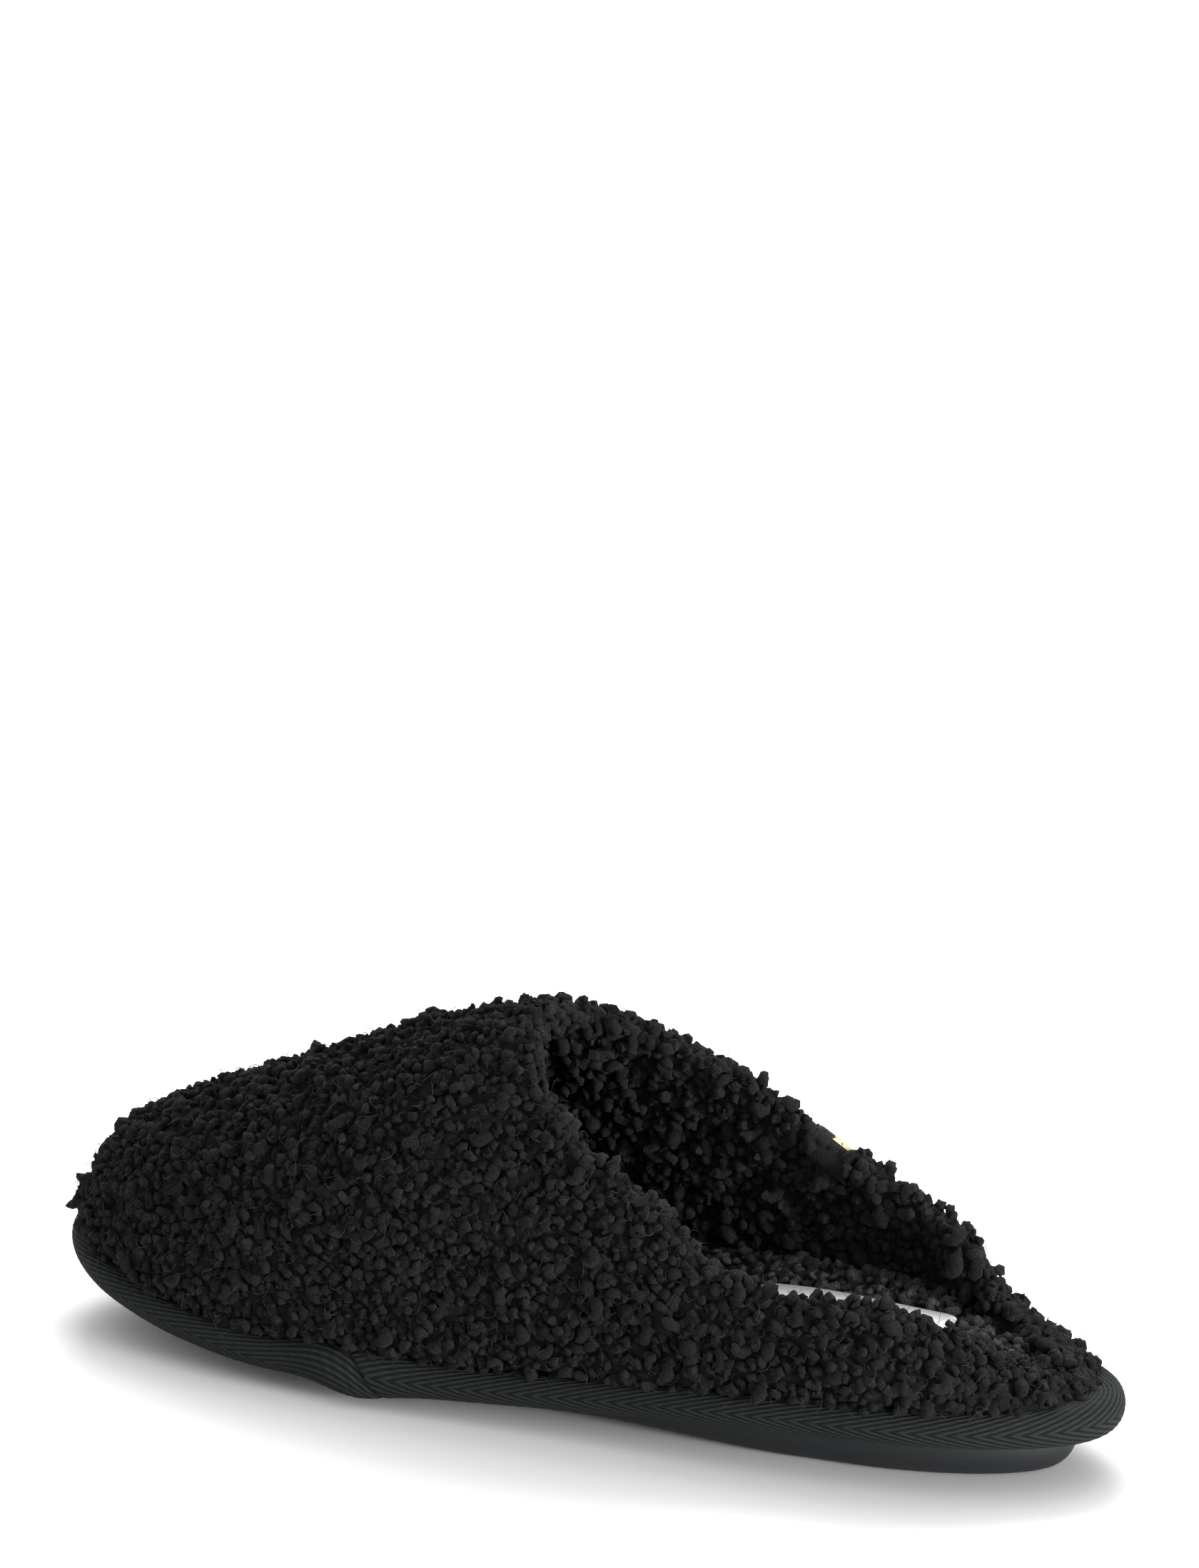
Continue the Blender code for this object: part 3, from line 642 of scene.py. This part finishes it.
to_lap = np.minimum(U, GIRTH - U)
to_heel = np.abs(U - U[np.argmin(RING[:, 1])])
swell = (LAP_SWELL * np.exp(-(to_lap / LAP_REACH * 2) ** 2)
         + HEEL_SWELL * np.exp(-(to_heel / HEEL_REACH) ** 2))
sections = np.array([tape_section(TAPE_ROLL + 2 * grow) for grow in (0.0, LAP_SWELL)])
share = (swell / LAP_SWELL)[None, :, None]
section = sections[0][:, None] * (1 - share) + sections[1][:, None] * share
plan = RING[None] + INWARD[None] * section[:, :, :1]
sheet = np.concatenate([plan, (bed_height(plan[:, :, 1]) + section[:, :, 1])[:, :, None]], axis=2) + SHIFT
across = np.concatenate([[0], np.cumsum(np.linalg.norm(np.diff(sections[0], axis=0), axis=1))])
across -= across[len(across) // 2]
print("tape:", sheet.shape[0], "rows,", round((across[-1] - across[0]) / MM, 1), "mm across")

# %% [markdown]
# The tape's ends meet in a slanting lap. The end on the heel side lies on top; the other
# one comes out from under it bulged and pulled down, so that its ribs sweep down to the
# lap. Both are written into the sheet: a step and a bulge along its normals, and a v that
# is measured from the tape's own middle line wherever that runs.

# %% Lap of the tape
LAP_SLANT = -1.0                # how far the lap's edge runs along for each step across
LAP_STEP = 0.6 * MM
LAP_STEP_FADE = 14 * MM
LAP_EDGE = 1.2 * MM             # the lower end dips under the edge over this length
LAP_BULGE = 1.5 * MM
LAP_BULGE_REACH = 9 * MM
LAP_PULL = 14 * MM              # the lower end is pulled down, so its middle line runs off below
LAP_PULL_REACH = 12 * MM
LAP_LEAD = 3 * MM

signed = np.where(U < GIRTH / 2, U, U - GIRTH)
past = signed[None] + LAP_SLANT * across[:, None]           # distance past the edge, to the heel
on_top = past > 0
step = np.where(on_top, LAP_STEP * np.exp(-past / LAP_STEP_FADE), 0)
bulge = np.where(on_top, 0, LAP_BULGE * np.exp(-((past + LAP_BULGE_REACH) / LAP_BULGE_REACH) ** 2)
                 - LAP_STEP * np.exp(past / LAP_EDGE))
down = np.gradient(sheet, axis=0)
forth = (np.roll(sheet, -1, axis=1) - np.roll(sheet, 1, axis=1)) / 2
out = np.cross(forth, down)
out /= np.linalg.norm(out, axis=2)[:, :, None]
out *= np.sign((out[len(out) // 2, :, :2] * -INWARD).sum(1))[None, :, None]
sheet += out * (step + bulge)[:, :, None]
straight = signed[None] + np.where(on_top, 0, GIRTH)
pull = np.where(on_top, 0, LAP_PULL * np.exp(np.minimum(signed - LAP_LEAD, 0) / LAP_PULL_REACH))
uv = np.stack([straight, across[:, None] - pull], axis=2)

# %% [markdown]
# Herringbone reads as two sets of ribs that meet in a line of points. The ribs are worked
# out from u and v: the further from the middle, the further along the tape they have run.
# The thread floats on each rib are finer, so they are left to the bump in the material.

# %% Tape finish
RIB_PITCH = 4.2 * MM            # along the tape
RIB_HEIGHT = 0.12 * MM
THREAD = 0.9 * MM


def rib_tree():
    """Lifts herringbone ribs on a sheet with a (u, v) map in metres."""
    tree = bpy.data.node_groups.new("herringbone ribs", "GeometryNodeTree")
    for socket, kind in (("Sheet", "Geometry"), ("Pitch", "Float"), ("Run", "Float"), ("Height", "Float"),
                         ("Material", "Material")):
        tree.interface.new_socket(socket, in_out="INPUT", socket_type="NodeSocket" + kind)
    tree.interface.new_socket("Ribbed", in_out="OUTPUT", socket_type="NodeSocketGeometry")
    given = add(tree, "NodeGroupInput").outputs
    place = add(tree, "GeometryNodeInputNamedAttribute", [("Name", "tape_place")], data_type="FLOAT_VECTOR")
    parts = add(tree, "ShaderNodeSeparateXYZ", [(0, place.outputs["Attribute"])]).outputs
    away = add(tree, "ShaderNodeMath", [(0, parts["Y"])], operation="ABSOLUTE")
    late = add(tree, "ShaderNodeMath", [(0, away.outputs[0]), (1, given["Run"])], operation="MULTIPLY")
    level = add(tree, "ShaderNodeMath", [(0, parts["X"]), (1, late.outputs[0])], operation="SUBTRACT")
    phase = add(tree, "ShaderNodeMath", [(0, level.outputs[0]), (1, given["Pitch"])], operation="DIVIDE")
    turn = add(tree, "ShaderNodeMath", [(0, phase.outputs[0]), (1, tau)], operation="MULTIPLY")
    wave = add(tree, "ShaderNodeMath", [(0, turn.outputs[0])], operation="COSINE")
    crest = add(tree, "ShaderNodeMath", [(0, wave.outputs[0]), (1, 0.5), (2, -0.5)],
                operation="MULTIPLY_ADD")
    rise = add(tree, "ShaderNodeMath", [(0, crest.outputs[0]), (1, given["Height"])], operation="MULTIPLY")
    rise = add(tree, "ShaderNodeMath", [(0, rise.outputs[0]), (1, parts["Z"])], operation="MULTIPLY")
    normal = add(tree, "GeometryNodeInputNormal").outputs[0]
    offset = add(tree, "ShaderNodeVectorMath", [(0, normal), ("Scale", rise.outputs[0])], operation="SCALE")
    moved = add(tree, "GeometryNodeSetPosition",
                [("Geometry", given["Sheet"]), ("Offset", offset.outputs[0])])
    real = add(tree, "GeometryNodeRealizeInstances", [("Geometry", moved.outputs[0])])
    finish = add(tree, "GeometryNodeSetMaterial",
                 [("Geometry", real.outputs[0]), ("Material", given["Material"])])
    add(tree, "NodeGroupOutput", [("Ribbed", finish.outputs[0])])
    return tree


def tape_material():
    """Cotton-blend herringbone tape, woven and dyed black: matt ribs of short thread floats."""
    material, tree, shader = new_material(
        "woven_herringbone_tape", "#242727", Roughness=0.85, Specular_IOR_Level=0.15)
    uv_place = add(tree, "ShaderNodeUVMap", uv_map="cloth").outputs[0]
    parts = add(tree, "ShaderNodeSeparateXYZ", [(0, uv_place)]).outputs
    away = add(tree, "ShaderNodeMath", [(0, parts["Y"])], operation="ABSOLUTE")
    level = add(tree, "ShaderNodeMath", [(0, away.outputs[0]), (1, -RIB_RUN), (2, parts["X"])],
                operation="MULTIPLY_ADD")
    turn = add(tree, "ShaderNodeMath", [(0, level.outputs[0]), (1, tau / RIB_PITCH)], operation="MULTIPLY")
    rib = add(tree, "ShaderNodeMath", [(0, turn.outputs[0])], operation="COSINE")
    thread = add(tree, "ShaderNodeMath", [(0, away.outputs[0]), (1, tau / THREAD)], operation="MULTIPLY")
    thread = add(tree, "ShaderNodeMath", [(0, thread.outputs[0])], operation="SINE")
    knot = add(tree, "ShaderNodeMath", [(0, thread.outputs[0]), (1, rib.outputs[0])], operation="MULTIPLY")
    place = add(tree, "ShaderNodeTexCoord").outputs["Object"]
    fuzz = add(tree, "ShaderNodeTexNoise", [("Vector", place), ("Scale", 1 / (0.4 * MM)), ("Detail", 3.0)])
    rough = add(tree, "ShaderNodeMath", [(0, fuzz.outputs["Fac"]), (1, 0.8), (2, knot.outputs[0])],
                operation="MULTIPLY_ADD")
    rough = add(tree, "ShaderNodeMath", [(0, rib.outputs[0]), (1, 1.5), (2, rough.outputs[0])],
                operation="MULTIPLY_ADD")
    bump = add(tree, "ShaderNodeBump",
               [("Strength", 0.6), ("Distance", 0.2 * MM), ("Height", rough.outputs[0])])
    # painted shade and light: the grooves between the ribs are painted darker and their crests lighter
    light = add(tree, "ShaderNodeMath", [(0, rib.outputs[0]), (1, 0.5), (2, 0.62)],
                operation="MULTIPLY_ADD", use_clamp=True)
    colour = add(tree, "ShaderNodeMix",
                 [(0, light.outputs[0]), (6, linear("#080909")), (7, linear("#282b2b"))], data_type="RGBA")
    tree.links.new(colour.outputs[2], shader.inputs["Base Color"])
    tree.links.new(bump.outputs["Normal"], shader.inputs["Normal"])
    return material


weave = tape_material()
wall = sheet.copy()
wall[:, :, 2] -= np.sign(section[:, :, 1]) * np.minimum(TAPE_WALL, np.abs(section[:, :, 1]))
wall[:, :, :2] += INWARD[None] * TAPE_WALL * (np.abs(section[:, :, 1:]) < TAPE_ROLL / 2 - 0.1 * MM)
coarse = wall[::3][::-1]
rows = np.concatenate([sheet, coarse])
rib_share = np.concatenate([np.ones(len(sheet)), np.zeros(len(coarse))])
rib_uv = np.concatenate([uv, uv[::3][::-1]])
tape_sheet = new_mesh_object("binding sheet", rows.reshape(-1, 3),
                             ring_faces(len(rows), COLUMNS, True), weave, rib_uv.reshape(-1, 2))
layer = tape_sheet.data.attributes.new("tape_place", "FLOAT_VECTOR", "POINT")
shares = np.broadcast_to(rib_share[:, None, None], rib_uv.shape[:2] + (1,))
layer.data.foreach_set("vector", np.concatenate([rib_uv, shares], axis=2).astype(np.float32).ravel())
tape = grown("binding_tape", rib_tree(), tape_sheet.data, Pitch=RIB_PITCH, Run=RIB_RUN,
             Height=RIB_HEIGHT, Material=weave)
bpy.data.objects.remove(tape_sheet)
declare(tape, "tape", "binding")

# %% [markdown]
# ## Outsole
# The outsole is moulded foam rubber: smooth, with a satin skin, a rounded lower edge and
# faint lines where it shrank in the mould. It is swept round the same outline.

# %% Outsole
SOLE_INSET = 10.5 * MM
SOLE_ROUND = 7.5 * MM
SOLE_ROUND_SHARE = 0.8          # the rounding takes no more than this share of the height
SOLE_GAP = 0.3 * MM             # from the tape's underside
SOLE_LIP = 6 * MM               # its top reaches this far in from its side


def sole_material():
    """Moulded foam rubber with a satin skin: soft wide highlights and faint mould lines."""
    material, tree, shader = new_material("moulded_foam_rubber", "#1a1c1f", Roughness=0.62,
                                          Specular_IOR_Level=0.35)
    place = add(tree, "ShaderNodeTexCoord").outputs["Object"]
    drawn = add(tree, "ShaderNodeMapping", [("Vector", place), ("Scale", (1.0, 0.12, 1.6))])
    lines = add(tree, "ShaderNodeTexNoise",
                [("Vector", drawn.outputs[0]), ("Scale", 1 / (1.6 * MM)), ("Detail", 2.0)])
    bump = add(tree, "ShaderNodeBump",
               [("Strength", 0.25), ("Distance", 0.2 * MM), ("Height", lines.outputs["Fac"])])
    tree.links.new(bump.outputs["Normal"], shader.inputs["Normal"])
    return material


pick = slice(None, None, 3)
sole_ring, sole_inward = RING[pick], INWARD[pick]
levels = []
for inset in (SOLE_INSET + SOLE_LIP, SOLE_INSET + 0.2 * MM):
    plan = sole_ring + sole_inward * inset
    levels.append(np.column_stack([plan, bed_height(plan[:, 1]) - TAPE_ROLL / 2 - SOLE_GAP]))
for angle in np.radians(np.linspace(0, 90, 10)):
    plan = sole_ring + sole_inward * (SOLE_INSET + SOLE_ROUND * (1 - cos(angle)))
    underside = floor_height(plan[:, 1])
    thick = bed_height(plan[:, 1]) - TAPE_ROLL / 2 - SOLE_GAP - underside
    fillet = np.minimum(SOLE_ROUND, SOLE_ROUND_SHARE * thick)
    levels.append(np.column_stack([plan, underside + fillet * (1 - sin(angle))]))
levels = np.array(levels) + SHIFT
size = levels.shape[1]
faces = ring_faces(len(levels), size, False)
for start, flip in ((0, True), ((len(levels) - 1) * size, False)):
    middle = list(range(start, start + size))
    faces.append(middle if flip else middle[::-1])
rubber = sole_material()
sole = new_mesh_object("outsole_moulding", levels.reshape(-1, 3), faces, rubber)
declare(sole, "outsole", "outsole")

# %% [markdown]
# ## Label
# The label is a bare white woven patch sewn on the heel of the insole. It is a thin sheet
# with a soft wave, because the pile under it is uneven.

# %% Label
def woven(name, colour, warp, weft, strength, **sockets):
    """A fine woven ribbon: bump threads of the given spacings along its two directions."""
    material, tree, shader = new_material(name, colour, **sockets)
    place = add(tree, "ShaderNodeTexCoord").outputs["Object"]
    height = None
    # a wave texture of scale s repeats after tau / 20 / s
    for direction, pitch in (("X", warp), ("Y", weft)):
        wave = add(tree, "ShaderNodeTexWave", [("Vector", place), ("Scale", tau / pitch / 20)],
                   wave_type="BANDS", bands_direction=direction)
        if height is None:
            height = wave.outputs["Fac"]
        else:
            both = add(tree, "ShaderNodeMath", [(0, height), (1, wave.outputs["Fac"])], operation="MAXIMUM")
            height = both.outputs[0]
    bump = add(tree, "ShaderNodeBump", [("Strength", strength), ("Distance", 0.1 * MM), ("Height", height)])
    tree.links.new(bump.outputs["Normal"], shader.inputs["Normal"])
    return material


LABEL_RISE = 0.5 * MM           # it lies on the pile, and slopes a little down to the heel
LABEL_TILT = 0.04
LABEL_WAVE = 0.25 * MM
LABEL_MIDDLE = LABEL_START + LABEL_LENGTH / 2 - LENGTH / 2

satin = woven("woven_satin_label", "#f2f2f4", 0.6 * MM, 0.45 * MM, 0.25, Roughness=0.55)
patch = smooth_copy("insole_label", 2, sharp=radians(60))
points, *_ = mesh_arrays(patch)
x, y = points[:, 0], points[:, 1]
points[:, 2] += (LABEL_WAVE * np.sin(x / (7 * MM) + 1) * np.cos(y / (9 * MM)) + LABEL_RISE
                 + LABEL_TILT * (y - LABEL_MIDDLE))
patch.vertices.foreach_set("co", points.astype(np.float32).ravel())
patch.update()
patch.shade_smooth()
covered(patch, satin)
label = placed("heel_label", patch)
declare(label, "label", "insole_label")

# %% [markdown]
# ## Side tab
# The tab is a black grosgrain ribbon, folded over the outer side of the collar and sewn
# down, so it lies in the pile and lower than the curls round it. A light metallised thread
# shows along a part of its fold. Its face is plain.

# %% Side tab
RIBBON_SINK = 0.8 * MM          # the ribbon lies on the ground cloth, lower than the pile
GOLD_START, GOLD_LENGTH = 2.5 * MM, 6 * MM     # along the fold, from the ribbon's heel side
GOLD_WIDTH = 1.0 * MM

grosgrain = woven("grosgrain_ribbon", "#17181a", 0.9 * MM, 0.9 * MM, 0.5, Roughness=0.8,
                  Specular_IOR_Level=0.15)
gold, *_ = new_material("metallised_edge_thread", "#c9b88c", Roughness=0.5)
ribbon = placed("side_ribbon", smooth_copy("side_tab", 2, sharp=radians(50)))
ribbon.data.transform(Matrix.Translation((0, 0, -RIBBON_SINK)))
covered(ribbon.data, grosgrain, gold)
corners = [v.co for v in ribbon.data.vertices]
back = min(v.y for v in corners)
for face in ribbon.data.polygons:
    spot = face.center
    if GOLD_START < spot.y - back < GOLD_START + GOLD_LENGTH:
        crest = max((v for v in corners if abs(v.y - spot.y) < 1 * MM), key=lambda v: v.z)
        face.material_index = int(spot.x > crest.x - GOLD_WIDTH and spot.z > crest.z - GOLD_WIDTH)
print("gold faces:", sum(face.material_index for face in ribbon.data.polygons))
ribbon.data.shade_smooth()
declare(ribbon, "ribbon", "side_tab")

# %% [markdown]
# ## Floor
# The shoe stands on a plain pale floor of matt paper that reaches past the view.

# %% Floor
FLOOR_REACH = 14.0              # metres from the shoe to each edge
PAPER_GRAIN = 2.5 * MM

paper, paper_tree, paper_shader = new_material("matt_paper_floor", "#f4f4f4", Roughness=0.9,
                                               Specular_IOR_Level=0.0)
place = add(paper_tree, "ShaderNodeTexCoord").outputs["Object"]
grain = add(paper_tree, "ShaderNodeTexNoise", [("Vector", place), ("Scale", 1 / PAPER_GRAIN)])
soft = add(paper_tree, "ShaderNodeBump",
           [("Strength", 0.02), ("Distance", 0.1 * MM), ("Height", grain.outputs["Fac"])])
paper_tree.links.new(soft.outputs["Normal"], paper_shader.inputs["Normal"])
corners = [(x * FLOOR_REACH, y * FLOOR_REACH, 0) for x, y in ((-1, -1), (1, -1), (1, 1), (-1, 1))]
floor = new_mesh_object("studio_floor", corners, [(0, 1, 2, 3)], paper)

# %% [markdown]
# ## Light
# A wide soft light from above and behind throws a soft shadow towards the camera, and a
# white world fills the rest. A low light beyond the heel brings out the back of the tape,
# and a large one over the far floor keeps the background white.

# %% Light
WORLD_STRENGTH = 0.76
LIGHTS = (
    # name, place, aim, side of the square, watts
    ("key", (1.1, 0.5, 1.15), (0, 0, 0.03), 0.9, 23),
    ("heel side", (-0.5, -1.9, 0.22), (0, -0.12, 0.02), 0.5, 55),
    ("backdrop", (3.2, 1.5, 3.0), (3.2, 1.5, 0.0), 5.0, 130),
)


def area_light(name, place, aim, size, power):
    """A square soft light that faces a point."""
    data = bpy.data.lights.new(name, "AREA")
    data.size, data.energy = size, power
    lamp = placed(name, data)
    lamp.location = place
    lamp.rotation_euler = (Vector(aim) - Vector(place)).to_track_quat("-Z", "Y").to_euler()


for light in LIGHTS:
    area_light(*light)
world = bpy.data.worlds.new("studio")
bpy.context.scene.world = world
world.use_nodes = True
sky = world.node_tree.nodes["Background"].inputs
sky["Color"].default_value, sky["Strength"].default_value = (1, 1, 1, 1), WORLD_STRENGTH
bpy.context.scene.view_settings.view_transform = "Standard"

# %% [markdown]
# ## Camera
# The camera looks from the inner side, a little above and behind it. The shoe stands low
# in the image, so the camera is turned up from its line to the target, and not shifted.

# %% Camera
IMAGE_WIDTH, IMAGE_HEIGHT = 1680, 2197
TURN, RISE, ROLL = radians(26), radians(18), radians(1.0)
DISTANCE = 1.2
SCALE = 5980                    # pixels for each metre at the target
TARGET = Vector((SHIFT[0], 0, 30 * MM))
TARGET_PIXEL = (820, 1760.9)

look = Vector((cos(TURN) * cos(RISE), sin(TURN) * cos(RISE), -sin(RISE)))
right = Vector((sin(TURN), -cos(TURN), 0))
up = Vector((cos(TURN) * sin(RISE), sin(TURN) * sin(RISE), cos(RISE)))
right, up = right * cos(ROLL) + up * sin(ROLL), up * cos(ROLL) - right * sin(ROLL)
low = atan((TARGET_PIXEL[1] - IMAGE_HEIGHT / 2) / (SCALE * DISTANCE))
focal = SCALE * DISTANCE * cos(low)
left = atan((IMAGE_WIDTH / 2 - TARGET_PIXEL[0]) / focal)
ahead = look * cos(low) + up * sin(low)
up = up * cos(low) - look * sin(low)
ahead, right = ahead * cos(left) + right * sin(left), right * cos(left) - ahead * sin(left)
lens = bpy.data.cameras.new("camera")
lens.sensor_fit, lens.sensor_height = "VERTICAL", 24
lens.lens = focal / IMAGE_HEIGHT * lens.sensor_height
camera = placed("camera", lens)
place = TARGET - look * DISTANCE
camera.matrix_world = Matrix((
    (right.x, up.x, -ahead.x, place.x),
    (right.y, up.y, -ahead.y, place.y),
    (right.z, up.z, -ahead.z, place.z),
    (0, 0, 0, 1)))
bpy.context.scene.camera = camera
print(f"lens {lens.lens:.1f} mm, camera at {[round(v, 3) for v in place]}")

# %% [markdown]
# ## Last update
# The view layer is brought up to date.

# %% Last update
bpy.context.view_layer.update()
